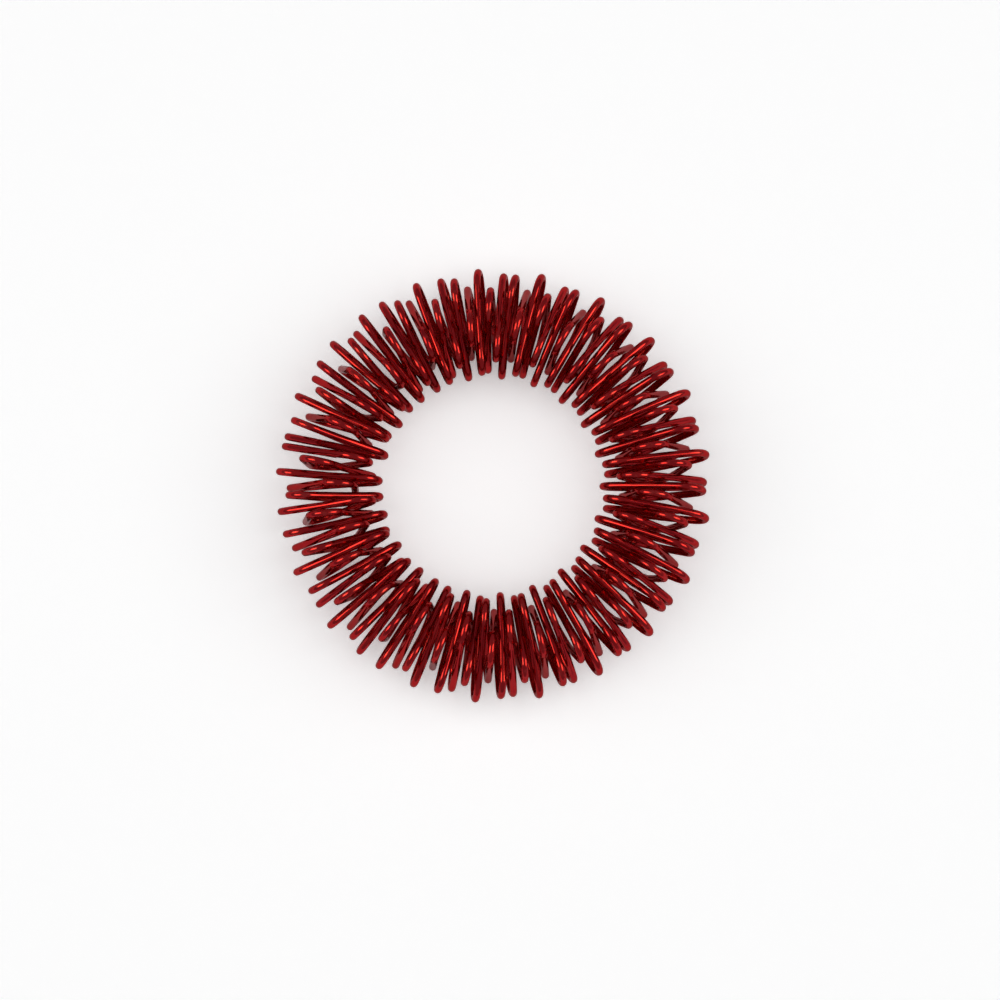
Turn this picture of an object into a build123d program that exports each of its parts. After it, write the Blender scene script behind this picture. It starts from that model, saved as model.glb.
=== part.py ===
from build123d import *
import os
from math import cos, pi, radians, sin, tan

# A spiky massage ring, the kind worn loose on a finger and rolled along it.
# It is one springy wire, wound into a long coil of pointed turns and bent round into a ring
# until its two ends meet. Each turn is a flattened loop, and each is turned on from the last,
# so that seen along the coil the turns make a twelve-pointed star with an open middle. The coil
# is cut into sectors of five turns, which move apart as the ring is stretched.
#
# The frame: +Z is the ring's own axis, the origin is the middle of the ring's lower side,
# and +X points away from the place where the two ends of the coil meet.
# Angles round the ring run anticlockwise from +X. Angles round the coil's section run from
# straight outwards (0) over the top (90) to straight inwards (180).

# Driving dimensions, in millimetres and degrees.
WIRE_DIAMETER = 0.54
RING_RADIUS = 11.9          # the circle on which the coil's sections are centred
BEND_RADIUS = 1.21          # of the wire's centre line at each pointed bend
BEND_CENTRE_RADIUS = 2.62   # from the section's centre to the centre of each bend
BEND_TURN = 150             # how far round the section one bend lies from the last
SIDE_BOW = 1.8              # how strongly the long sides between two bends follow the ring
BENDS_PER_SECTOR = 12       # five turns, after which the star comes round again
SECTORS = 21                # lengths of coil that move against each other
CLOSURE_ANGLE = 171.75      # where the two ends of the coil meet
FIRST_BEND_TURN = 280       # place of the first bend round its section

# The star turns slowly as the coil goes round: the wire did not spring back evenly.
DRIFT_PER_DEGREE = 0.25
DRIFT_SWING = 14.3
DRIFT_SWING_START = 187

# Where the ends of the coil meet, the head starts before the closure and the tail stops short
# of it, and the last turns of both lean away from each other.
HEAD_EXTRA_BENDS = 2
TAIL_MISSING_BENDS = 4
HEAD_LEAN = 0.9
HEAD_LEAN_BENDS = 6
TAIL_LEAN_PER_BEND = 0.2
TAIL_LEAN_BENDS = 3

# What follows from them.
BENDS = BENDS_PER_SECTOR * SECTORS
BEND_PITCH = 360 / BENDS
POINT_HALF_ANGLE = (180 - BEND_TURN) / 2
CORNER_RADIUS = BEND_CENTRE_RADIUS + BEND_RADIUS / sin(radians(POINT_HALF_ANGLE))
COIL_REACH = BEND_CENTRE_RADIUS + BEND_RADIUS + WIRE_DIAMETER / 2
HEAD_START = -HEAD_EXTRA_BENDS
TAIL_END = BENDS - TAIL_MISSING_BENDS


def drift(ring_angle):
    """How far the star has turned at this place round the ring, against its place at the closure."""
    swing = sin(radians(ring_angle - DRIFT_SWING_START))
    swing_at_closure = sin(radians(CLOSURE_ANGLE - DRIFT_SWING_START))
    return DRIFT_PER_DEGREE * (ring_angle - CLOSURE_ANGLE) + DRIFT_SWING * (swing - swing_at_closure)


def end_lean(bend):
    """How far a bend near an end of the coil leans round the ring, clear of the other end."""
    head_share = (HEAD_START + HEAD_LEAN_BENDS - bend) / HEAD_LEAN_BENDS
    head = HEAD_LEAN * min(1, max(0, head_share))
    tail = TAIL_LEAN_PER_BEND * max(0, bend - TAIL_END + TAIL_LEAN_BENDS + 1)
    return tail - head


def corner(bend):
    """The sharp corner that one bend of the wire rounds off, counted from the closure."""
    ring_angle = CLOSURE_ANGLE + (bend + 0.5) * BEND_PITCH
    section_angle = FIRST_BEND_TURN + bend * BEND_TURN + drift(ring_angle)
    out = RING_RADIUS + CORNER_RADIUS * cos(radians(section_angle))
    up = COIL_REACH + CORNER_RADIUS * sin(radians(section_angle))
    turn = radians(ring_angle + end_lean(bend))
    return Vector(out * cos(turn), out * sin(turn), up)


def side_middle(bend):
    """The middle of the side after a bend, a little off the straight line between its corners."""
    start = corner(bend)
    end = corner(bend + 1)
    middle = (start + end) * 0.5
    outwards = Vector(middle.X, middle.Y, 0).normalized()
    along_ring = Vector(-outwards.Y, outwards.X, 0)
    rise = Vector(end.X, end.Y, 0).length - Vector(start.X, start.Y, 0).length
    return middle - along_ring * (SIDE_BOW * rise * radians(BEND_PITCH) / 4)


def bend_points(bend):
    """Start, top and end of the round bend at a corner, and the wire's direction before and after."""
    point = corner(bend)
    back = (side_middle(bend - 1) - point).normalized()
    onwards = (side_middle(bend) - point).normalized()
    half_angle = radians(back.get_angle(onwards)) / 2
    start = point + back * (BEND_RADIUS / tan(half_angle))
    end = point + onwards * (BEND_RADIUS / tan(half_angle))
    centre = point + (back + onwards).normalized() * (BEND_RADIUS / sin(half_angle))
    top = centre + (point - centre).normalized() * BEND_RADIUS
    return start, top, end, back * -1, onwards


def side_points(bend):
    """The control points of the gently curved side from one bend to the next."""
    start = bend_points(bend)[2]
    leaving = bend_points(bend)[4]
    end = bend_points(bend + 1)[0]
    arriving = bend_points(bend + 1)[3]
    third = (end - start).length / 3
    return start, start + leaving * third, end - arriving * third, end


def between(a, b):
    """The point half way between two points."""
    return (a + b) * 0.5


def first_half(bend):
    """The side after a bend as far as its middle."""
    a, b, c, d = side_points(bend)
    ab, bc, cd = between(a, b), between(b, c), between(c, d)
    return Bezier(a, ab, between(ab, bc), between(between(ab, bc), between(bc, cd)))


def second_half(bend):
    """The side after a bend from its middle on."""
    a, b, c, d = side_points(bend)
    ab, bc, cd = between(a, b), between(b, c), between(c, d)
    return Bezier(between(between(ab, bc), between(bc, cd)), between(bc, cd), cd, d)


def sector_bends(index):
    """The first and last bend of one sector."""
    first = index * BENDS_PER_SECTOR
    last = first + BENDS_PER_SECTOR - 1
    if index == 0:
        first = HEAD_START
    if index == SECTORS - 1:
        last = TAIL_END - 1
    return first, last


def sector_path(index):
    """The centre line of one sector, from the middle of a side to the middle of another."""
    first, last = sector_bends(index)
    edges = [second_half(first - 1)]
    for bend in range(first, last + 1):
        start, top, end, arriving, leaving = bend_points(bend)
        edges.append(ThreePointArc(start, top, end))
        if bend < last:
            edges.append(Bezier(*side_points(bend)))
    edges.append(first_half(last))
    return Wire([edge.edge() for edge in edges])


def sector(index):
    """One sector of the coil, in round wire, and the length of its centre line."""
    path = sector_path(index)
    profile = Plane(origin=path @ 0, z_dir=path % 0) * Circle(WIRE_DIAMETER / 2)
    wire = sweep(profile, path=path)
    wire.label = f"coil_{index + 1:02d}"
    return wire, path.length


def main():
    os.makedirs("parts", exist_ok=True)
    section_area = pi * WIRE_DIAMETER ** 2 / 4
    wire_length = 0
    for index in range(SECTORS):
        wire, length = sector(index)
        wire_length = wire_length + length
        print(wire.label, "volume over section times length:", round(wire.volume / (section_area * length), 5))
        export_step(wire, f"parts/{wire.label}.step")
    print("wire length, mm:", round(wire_length, 1))


main()
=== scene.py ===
# A spiky massage ring: one springy wire, lacquered clear red, wound into a coil of pointed turns
# and bent round into a ring. The visible wire replaces the plain CAD sectors of the coil. It is
# drawn as one unbroken wire, in pieces that run from the middle of one sector to the middle of
# the next.
from math import cos, pi, radians, sin, tan

import bpy
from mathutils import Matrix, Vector


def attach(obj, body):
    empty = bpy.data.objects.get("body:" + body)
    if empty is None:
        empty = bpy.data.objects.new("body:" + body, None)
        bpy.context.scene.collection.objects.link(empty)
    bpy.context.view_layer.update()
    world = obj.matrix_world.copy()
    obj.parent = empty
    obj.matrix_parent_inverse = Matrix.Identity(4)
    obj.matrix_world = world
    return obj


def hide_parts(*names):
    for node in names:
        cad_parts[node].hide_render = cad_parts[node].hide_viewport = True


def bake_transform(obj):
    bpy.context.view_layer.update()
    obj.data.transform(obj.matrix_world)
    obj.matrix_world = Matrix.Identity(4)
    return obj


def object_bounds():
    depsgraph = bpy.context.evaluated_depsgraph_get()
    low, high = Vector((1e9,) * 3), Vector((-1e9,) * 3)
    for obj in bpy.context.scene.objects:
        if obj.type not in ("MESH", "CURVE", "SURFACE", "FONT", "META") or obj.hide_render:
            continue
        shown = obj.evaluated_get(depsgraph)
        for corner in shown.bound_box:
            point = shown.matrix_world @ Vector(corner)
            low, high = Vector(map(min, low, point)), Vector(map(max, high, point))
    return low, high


# The coil's own dimensions, as in the CAD model, in metres and degrees.
WIRE_RADIUS = 0.00027
RING_RADIUS = 0.0119
BEND_RADIUS = 0.00121
BEND_CENTRE_RADIUS = 0.00262
BEND_TURN = 150
SIDE_BOW = 1.8
BENDS_PER_SECTOR = 12
SECTORS = 21
CLOSURE_ANGLE = 171.75
FIRST_BEND_TURN = 280
DRIFT_PER_DEGREE = 0.25
DRIFT_SWING = 14.3
DRIFT_SWING_START = 187
HEAD_EXTRA_BENDS = 2
TAIL_MISSING_BENDS = 4
HEAD_LEAN = 0.9
HEAD_LEAN_BENDS = 6
TAIL_LEAN_PER_BEND = 0.2
TAIL_LEAN_BENDS = 3

BENDS = BENDS_PER_SECTOR * SECTORS
BEND_PITCH = 360 / BENDS
CORNER_RADIUS = BEND_CENTRE_RADIUS + BEND_RADIUS / sin(radians((180 - BEND_TURN) / 2))
COIL_REACH = BEND_CENTRE_RADIUS + BEND_RADIUS + WIRE_RADIUS
HEAD_START = -HEAD_EXTRA_BENDS
TAIL_END = BENDS - TAIL_MISSING_BENDS

# How finely the wire is drawn.
SIDES = 20
STEPS_PER_BEND = 20
STEPS_PER_SIDE = 12          # an even number, so that a side has a middle point
SHARP_EDGE_ANGLE = 60        # sharp only at the rims of the wire's two ends

# The lacquer: its colours, linear, and how fine and how strong its patterns are.
LACQUER_THICK = (0.36, 0.007, 0.013)
LACQUER_THIN = (0.47, 0.014, 0.017)
LACQUER_RUBBED = (0.48, 0.05, 0.05)
EDGE_TINT = (0.60, 0.09, 0.09)
RUBBED_SHARE = 0.35          # how much of the rubbed colour shows where the wire is rubbed most
THICKNESS_PATTERN = 420
RUBBING_PATTERN = 2600
LINE_STRETCH = (0.5, 40, 1)  # long along the wire and fine round it
LEAST_ROUGHNESS = 0.13
MOST_ROUGHNESS = 0.23
RUBBED_ROUGHNESS = 0.08      # on top of the other
LINE_STRENGTH = 0.15
LINE_DEPTH = 0.000006
COAT_WEIGHT = 0.22
COAT_ROUGHNESS = 0.12

# The floor's paper.
PAPER_DARKER = (0.895, 0.895, 0.9)
PAPER_LIGHTER = (0.905, 0.905, 0.905)
PAPER_GRAIN = 900
PAPER_ROUGHNESS = 0.95
PAPER_SHINE = 0.1
FLOOR_HALF_WIDTH = 0.6
FLOOR_GLOW = 0.34
FLOOR_GLOW_IN_WIRE = 0.08

# The lights. Only the softboxes show in the wire. The side lights and the fill light the floor.
LIGHT_DISTANCE = 0.5
SOFTBOX_ELEVATION = 44
SOFTBOX_SIZE = 0.30
SOFTBOX_POWER = 0.93
SOFTBOX_COLOUR = (1, 1, 0.55)
SIDE_ELEVATION = 50
SIDE_SIZE = 0.45
SIDE_POWER = 0.95
FILL_SIZE = 0.35
FILL_POWER = 0.7
SURROUNDINGS = 0.31
SURROUNDINGS_SEEN = 0.5

# The camera.
PHOTO_WIDTH = 0.0731
CAMERA_DISTANCE = 0.5
CAMERA_TILT = 6
SENSOR = 36
RING_LEFT_OF_VIEW = 0.00054
RING_ABOVE_VIEW = 0.00107


# ---------------------------------------------------------------- the wire's centre line

def drift(ring_angle):
    """How far the star has turned at this place round the ring, against its place at the closure."""
    swing = sin(radians(ring_angle - DRIFT_SWING_START))
    swing_at_closure = sin(radians(CLOSURE_ANGLE - DRIFT_SWING_START))
    return DRIFT_PER_DEGREE * (ring_angle - CLOSURE_ANGLE) + DRIFT_SWING * (swing - swing_at_closure)


def end_lean(bend):
    """How far a bend near an end of the coil leans round the ring, clear of the other end."""
    head_share = (HEAD_START + HEAD_LEAN_BENDS - bend) / HEAD_LEAN_BENDS
    head = HEAD_LEAN * min(1, max(0, head_share))
    tail = TAIL_LEAN_PER_BEND * max(0, bend - TAIL_END + TAIL_LEAN_BENDS + 1)
    return tail - head


def corner(bend):
    """The sharp corner that one bend of the wire rounds off, counted from the closure."""
    ring_angle = CLOSURE_ANGLE + (bend + 0.5) * BEND_PITCH
    section_angle = FIRST_BEND_TURN + bend * BEND_TURN + drift(ring_angle)
    out = RING_RADIUS + CORNER_RADIUS * cos(radians(section_angle))
    up = COIL_REACH + CORNER_RADIUS * sin(radians(section_angle))
    turn = radians(ring_angle + end_lean(bend))
    return Vector((out * cos(turn), out * sin(turn), up))


def side_middle(bend):
    """The middle of the side after a bend, a little off the straight line between its corners."""
    start = corner(bend)
    end = corner(bend + 1)
    middle = (start + end) / 2
    outwards = Vector((middle.x, middle.y, 0)).normalized()
    along_ring = Vector((-outwards.y, outwards.x, 0))
    rise = end.xy.length - start.xy.length
    return middle - along_ring * (SIDE_BOW * rise * radians(BEND_PITCH) / 4)


def bend_shape(bend):
    """Points on the round bend at a corner, and the wire's direction before and after it."""
    point = corner(bend)
    back = (side_middle(bend - 1) - point).normalized()
    onwards = (side_middle(bend) - point).normalized()
    half = back.angle(onwards) / 2
    centre = point + (back + onwards).normalized() * (BEND_RADIUS / sin(half))
    from_centre = point + back * (BEND_RADIUS / tan(half)) - centre
    axis = from_centre.cross(-back).normalized()
    arc = []
    for step in range(STEPS_PER_BEND + 1):
        angle = (pi - 2 * half) * step / STEPS_PER_BEND
        arc.append(centre + from_centre * cos(angle) + axis.cross(from_centre) * sin(angle))
    return arc, -back, onwards


def side_points(start, leaving, end, arriving):
    """Points on the gently curved side between two bends, without its two ends."""
    third = (end - start).length / 3
    a = start + leaving * third
    b = end - arriving * third
    points = []
    for step in range(1, STEPS_PER_SIDE):
        t = step / STEPS_PER_SIDE
        u = 1 - t
        points.append(start * u ** 3 + a * (3 * u * u * t) + b * (3 * u * t * t) + end * t ** 3)
    return points


def centre_line(first, last):
    """The wire's centre line, from the middle of the side before one bend to that after another."""
    points = []
    arc, arriving, leaving = bend_shape(first - 1)
    for bend in range(first, last + 2):
        start = arc[-1]
        start_direction = leaving
        arc, arriving, leaving = bend_shape(bend)
        side = side_points(start, start_direction, arc[0], arriving)
        middle = len(side) // 2
        if bend == first:
            side = side[middle:]
        if bend == last + 1:
            points.extend(side[:middle + 1])
        else:
            points.extend(side + arc)
    return points


# ---------------------------------------------------------------- the wire's mesh

def directions(points):
    """The wire's direction at each point."""
    result = []
    for index, point in enumerate(points):
        before = points[max(index - 1, 0)]
        after = points[min(index + 1, len(points) - 1)]
        result.append((after - before).normalized())
    return result


def distances(points):
    """How far along the wire each point lies, in millimetres."""
    result = [0]
    for before, after in zip(points, points[1:]):
        result.append(result[-1] + 1000 * (after - before).length)
    return result


def bending(along, at):
    """How sharply the wire bends at each point, from 0 on a side to 1 in a bend."""
    tightest = 0.001 / BEND_RADIUS
    result = []
    for index in range(len(along)):
        before = max(index - 2, 0)
        after = min(index + 2, len(along) - 1)
        turned = along[before].angle(along[after], 0)
        result.append(min(1, turned / (at[after] - at[before]) / tightest))
    return result


def wire_mesh(name, points):
    """A round tube along the points, closed at both ends, with its rim edges sharp."""
    along = directions(points)
    at = distances(points)
    bent = bending(along, at)
    side = along[0].cross(Vector((0, 0, 1))).normalized()
    vertices = []
    for point, direction in zip(points, along):
        side = (side - direction * side.dot(direction)).normalized()
        up = direction.cross(side)
        for k in range(SIDES):
            angle = 2 * pi * k / SIDES
            vertices.append(point + (side * cos(angle) + up * sin(angle)) * WIRE_RADIUS)
    faces = []
    uvs = []
    for ring in range(len(points) - 1):
        base = ring * SIDES
        for k in range(SIDES):
            n = (k + 1) % SIDES
            faces.append((base + k, base + n, base + SIDES + n, base + SIDES + k))
            left, right = k / SIDES, (k + 1) / SIDES
            uvs.extend([(at[ring], left), (at[ring], right), (at[ring + 1], right), (at[ring + 1], left)])
    last = (len(points) - 1) * SIDES
    faces.append(tuple(reversed(range(SIDES))))
    faces.append(tuple(range(last, last + SIDES)))
    uvs.extend([(at[0], 0)] * SIDES + [(at[-1], 0)] * SIDES)
    mesh = bpy.data.meshes.new(name)
    mesh.from_pydata([tuple(v) for v in vertices], [], faces)
    mesh.polygons.foreach_set("use_smooth", [True] * len(faces))
    mesh.set_sharp_from_angle(angle=radians(SHARP_EDGE_ANGLE))
    layer = mesh.uv_layers.new(name="along_wire")
    layer.data.foreach_set("uv", [value for uv in uvs for value in uv])
    attribute = mesh.attributes.new("bent", "FLOAT", "POINT")
    attribute.data.foreach_set("value", [value for value in bent for k in range(SIDES)])
    return mesh


def wire_piece(name, first, last, material):
    obj = bpy.data.objects.new(name, wire_mesh(name, centre_line(first, last)))
    bpy.context.scene.collection.objects.link(obj)
    obj.data.materials.append(material)
    return obj


def make_wire(material):
    """The whole wire: its two free ends, and a piece across every joint between two sectors."""
    half = BENDS_PER_SECTOR // 2
    head = wire_piece("wire_head", HEAD_START, half - 1, material)
    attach(head, "sector_01")
    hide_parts("coil_01")
    for sector in range(1, SECTORS):
        first = sector * BENDS_PER_SECTOR - half
        name = f"wire_{sector:02d}_{sector + 1:02d}"
        piece = wire_piece(name, first, first + BENDS_PER_SECTOR - 1, material)
        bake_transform(piece)
        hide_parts(f"coil_{sector + 1:02d}")
    tail = wire_piece("wire_tail", BENDS - half, TAIL_END - 1, material)
    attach(tail, f"sector_{SECTORS:02d}")


# ---------------------------------------------------------------- materials

def new_material(name):
    material = bpy.data.materials.new(name)
    material.use_nodes = True
    return material, material.node_tree, material.node_tree.nodes["Principled BSDF"]


def noise(tree, coordinates, scale, detail, stretch=(1, 1, 1)):
    """A noise pattern, drawn out by the three stretch factors. Gives its value."""
    mapping = tree.nodes.new("ShaderNodeMapping")
    mapping.inputs["Scale"].default_value = stretch
    texture = tree.nodes.new("ShaderNodeTexNoise")
    texture.inputs["Scale"].default_value = scale
    texture.inputs["Detail"].default_value = detail
    tree.links.new(coordinates, mapping.inputs["Vector"])
    tree.links.new(mapping.outputs["Vector"], texture.inputs["Vector"])
    return texture.outputs["Fac"]


def ramp(tree, value, low, high, low_result, high_result):
    """Takes a value from one range to another, clamped at both ends."""
    node = tree.nodes.new("ShaderNodeMapRange")
    node.inputs["From Min"].default_value = low
    node.inputs["From Max"].default_value = high
    node.inputs["To Min"].default_value = low_result
    node.inputs["To Max"].default_value = high_result
    tree.links.new(value, node.inputs["Value"])
    return node.outputs["Result"]


def product(tree, a, b):
    node = tree.nodes.new("ShaderNodeMath")
    node.operation = "MULTIPLY"
    tree.links.new(a, node.inputs[0])
    tree.links.new(b, node.inputs[1])
    return node.outputs["Value"]


def mixed(tree, factor, a, b):
    """A colour between two others, each a plain colour or the output of a node."""
    node = tree.nodes.new("ShaderNodeMix")
    node.data_type = "RGBA"
    tree.links.new(factor, node.inputs["Factor"])
    for socket, colour in ((node.inputs["A"], a), (node.inputs["B"], b)):
        if isinstance(colour, tuple):
            socket.default_value = (*colour, 1)
        else:
            tree.links.new(colour, socket)
    return node.outputs["Result"]


def lacquered_wire():
    """Bright wire under clear red lacquer: uneven lacquer, fine drawing lines, rubbed points."""
    material, tree, shader = new_material("lacquered_wire")
    place = tree.nodes.new("ShaderNodeTexCoord")
    along_wire = tree.nodes.new("ShaderNodeUVMap")
    along_wire.uv_map = "along_wire"
    bent = tree.nodes.new("ShaderNodeAttribute")
    bent.attribute_name = "bent"

    thickness = noise(tree, place.outputs["Object"], THICKNESS_PATTERN, 3)
    colour = mixed(tree, ramp(tree, thickness, 0.35, 0.65, 0, 1), LACQUER_THICK, LACQUER_THIN)
    rub_pattern = noise(tree, place.outputs["Object"], RUBBING_PATTERN, 5)
    rubbed = product(tree, ramp(tree, rub_pattern, 0.52, 0.62, 0, 1), bent.outputs["Fac"])
    colour = mixed(tree, ramp(tree, rubbed, 0, 1, 0, RUBBED_SHARE), colour, LACQUER_RUBBED)
    tree.links.new(colour, shader.inputs["Base Color"])

    lines = noise(tree, along_wire.outputs["UV"], 1, 4, LINE_STRETCH)
    smear = ramp(tree, lines, 0.3, 0.7, LEAST_ROUGHNESS, MOST_ROUGHNESS)
    roughness = tree.nodes.new("ShaderNodeMath")
    roughness.operation = "ADD"
    tree.links.new(smear, roughness.inputs[0])
    tree.links.new(ramp(tree, rubbed, 0, 1, 0, RUBBED_ROUGHNESS), roughness.inputs[1])
    tree.links.new(roughness.outputs["Value"], shader.inputs["Roughness"])

    bump = tree.nodes.new("ShaderNodeBump")
    bump.inputs["Strength"].default_value = LINE_STRENGTH
    bump.inputs["Distance"].default_value = LINE_DEPTH
    tree.links.new(lines, bump.inputs["Height"])
    tree.links.new(bump.outputs["Normal"], shader.inputs["Normal"])
    shader.inputs["Metallic"].default_value = 1
    shader.inputs["Coat Weight"].default_value = COAT_WEIGHT
    shader.inputs["Coat Roughness"].default_value = COAT_ROUGHNESS
    shader.inputs["Specular Tint"].default_value = (*EDGE_TINT, 1)
    return material


def paper_white():
    """The floor: matt white paper with the slightest grain and a glow that the wire mirrors less."""
    material, tree, shader = new_material("white_floor")
    place = tree.nodes.new("ShaderNodeTexCoord")
    grain = noise(tree, place.outputs["Object"], PAPER_GRAIN, 3)
    colour = mixed(tree, ramp(tree, grain, 0.3, 0.7, 0, 1), PAPER_DARKER, PAPER_LIGHTER)
    tree.links.new(colour, shader.inputs["Base Color"])
    shader.inputs["Roughness"].default_value = PAPER_ROUGHNESS
    shader.inputs["Specular IOR Level"].default_value = PAPER_SHINE
    shader.inputs["Emission Color"].default_value = (1, 1, 1, 1)
    ray = tree.nodes.new("ShaderNodeLightPath")
    glow = ramp(tree, ray.outputs["Is Glossy Ray"], 0, 1, FLOOR_GLOW, FLOOR_GLOW_IN_WIRE)
    tree.links.new(glow, shader.inputs["Emission Strength"])
    return material


# ---------------------------------------------------------------- floor, lights and camera

def make_floor(level):
    corners = []
    for x, y in ((-1, -1), (1, -1), (1, 1), (-1, 1)):
        corners.append((x * FLOOR_HALF_WIDTH, y * FLOOR_HALF_WIDTH, level))
    mesh = bpy.data.meshes.new("floor")
    mesh.from_pydata(corners, [], [(0, 1, 2, 3)])
    floor = bpy.data.objects.new("floor", mesh)
    bpy.context.scene.collection.objects.link(floor)
    mesh.materials.append(paper_white())


def square_light(name, azimuth, elevation, size, power):
    """A square area light aimed at the ring. Azimuth 0 is +X, anticlockwise."""
    data = bpy.data.lights.new(name, "AREA")
    data.shape = "SQUARE"
    data.size = size
    data.energy = power
    light = bpy.data.objects.new(name, data)
    bpy.context.scene.collection.objects.link(light)
    a, e = radians(azimuth), radians(elevation)
    offset = Vector((cos(a) * cos(e), sin(a) * cos(e), sin(e)))
    light.location = offset * LIGHT_DISTANCE
    light.rotation_mode = "QUATERNION"
    light.rotation_quaternion = offset.to_track_quat("Z", "Y")
    return light


def make_lights():
    """A softbox left and right to shine in the wire, and broad light from the sides and above."""
    for side, azimuth in (("right", 0), ("left", 180)):
        softbox = square_light(f"softbox_{side}", azimuth, SOFTBOX_ELEVATION, SOFTBOX_SIZE, SOFTBOX_POWER)
        softbox.data.color = SOFTBOX_COLOUR
        softbox.visible_diffuse = False
        side_light = square_light(f"side_{side}", azimuth, SIDE_ELEVATION, SIDE_SIZE, SIDE_POWER)
        side_light.visible_glossy = False
    fill = square_light("fill_above", 0, 90, FILL_SIZE, FILL_POWER)
    fill.visible_glossy = False


def make_world():
    """Soft grey surroundings that shine in the wire, and look paler behind the floor's far edge."""
    world = bpy.data.worlds.new("studio")
    bpy.context.scene.world = world
    world.use_nodes = True
    background = world.node_tree.nodes["Background"]
    background.inputs["Color"].default_value = (1, 1, 1, 1)
    ray = world.node_tree.nodes.new("ShaderNodeLightPath")
    seen = ramp(world.node_tree, ray.outputs["Is Camera Ray"], 0, 1, SURROUNDINGS, SURROUNDINGS_SEEN)
    world.node_tree.links.new(seen, background.inputs["Strength"])
    world.cycles_visibility.diffuse = False


def make_camera(centre):
    data = bpy.data.cameras.new("camera")
    data.sensor_width = SENSOR
    data.lens = SENSOR * CAMERA_DISTANCE / PHOTO_WIDTH
    data.clip_start = 0.01
    data.clip_end = 10
    camera = bpy.data.objects.new("camera", data)
    bpy.context.scene.collection.objects.link(camera)
    tilt = radians(CAMERA_TILT)
    back = Vector((0, -sin(tilt), cos(tilt)))
    aim = centre + Vector((RING_LEFT_OF_VIEW, -RING_ABOVE_VIEW, 0))
    camera.location = aim + back * CAMERA_DISTANCE
    camera.rotation_mode = "QUATERNION"
    camera.rotation_quaternion = back.to_track_quat("Z", "Y")
    bpy.context.scene.camera = camera


def corners_as_lists(box):
    return [list(box_corner) for box_corner in box]


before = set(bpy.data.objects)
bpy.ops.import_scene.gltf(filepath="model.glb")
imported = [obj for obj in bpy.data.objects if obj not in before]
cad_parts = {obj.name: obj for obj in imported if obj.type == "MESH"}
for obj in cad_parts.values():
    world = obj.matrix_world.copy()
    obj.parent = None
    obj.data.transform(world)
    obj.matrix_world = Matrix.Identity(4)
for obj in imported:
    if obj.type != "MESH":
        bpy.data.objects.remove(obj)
cad_box = corners_as_lists(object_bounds())

wire_material = lacquered_wire()
make_wire(wire_material)
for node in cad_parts.values():
    node.data.materials.clear()
    node.data.materials.append(wire_material)

low, high = cad_box
make_floor(low[2])
make_world()
make_lights()
bpy.context.scene.view_settings.view_transform = "Standard"
make_camera(Vector((0, 0, (low[2] + high[2]) / 2)))
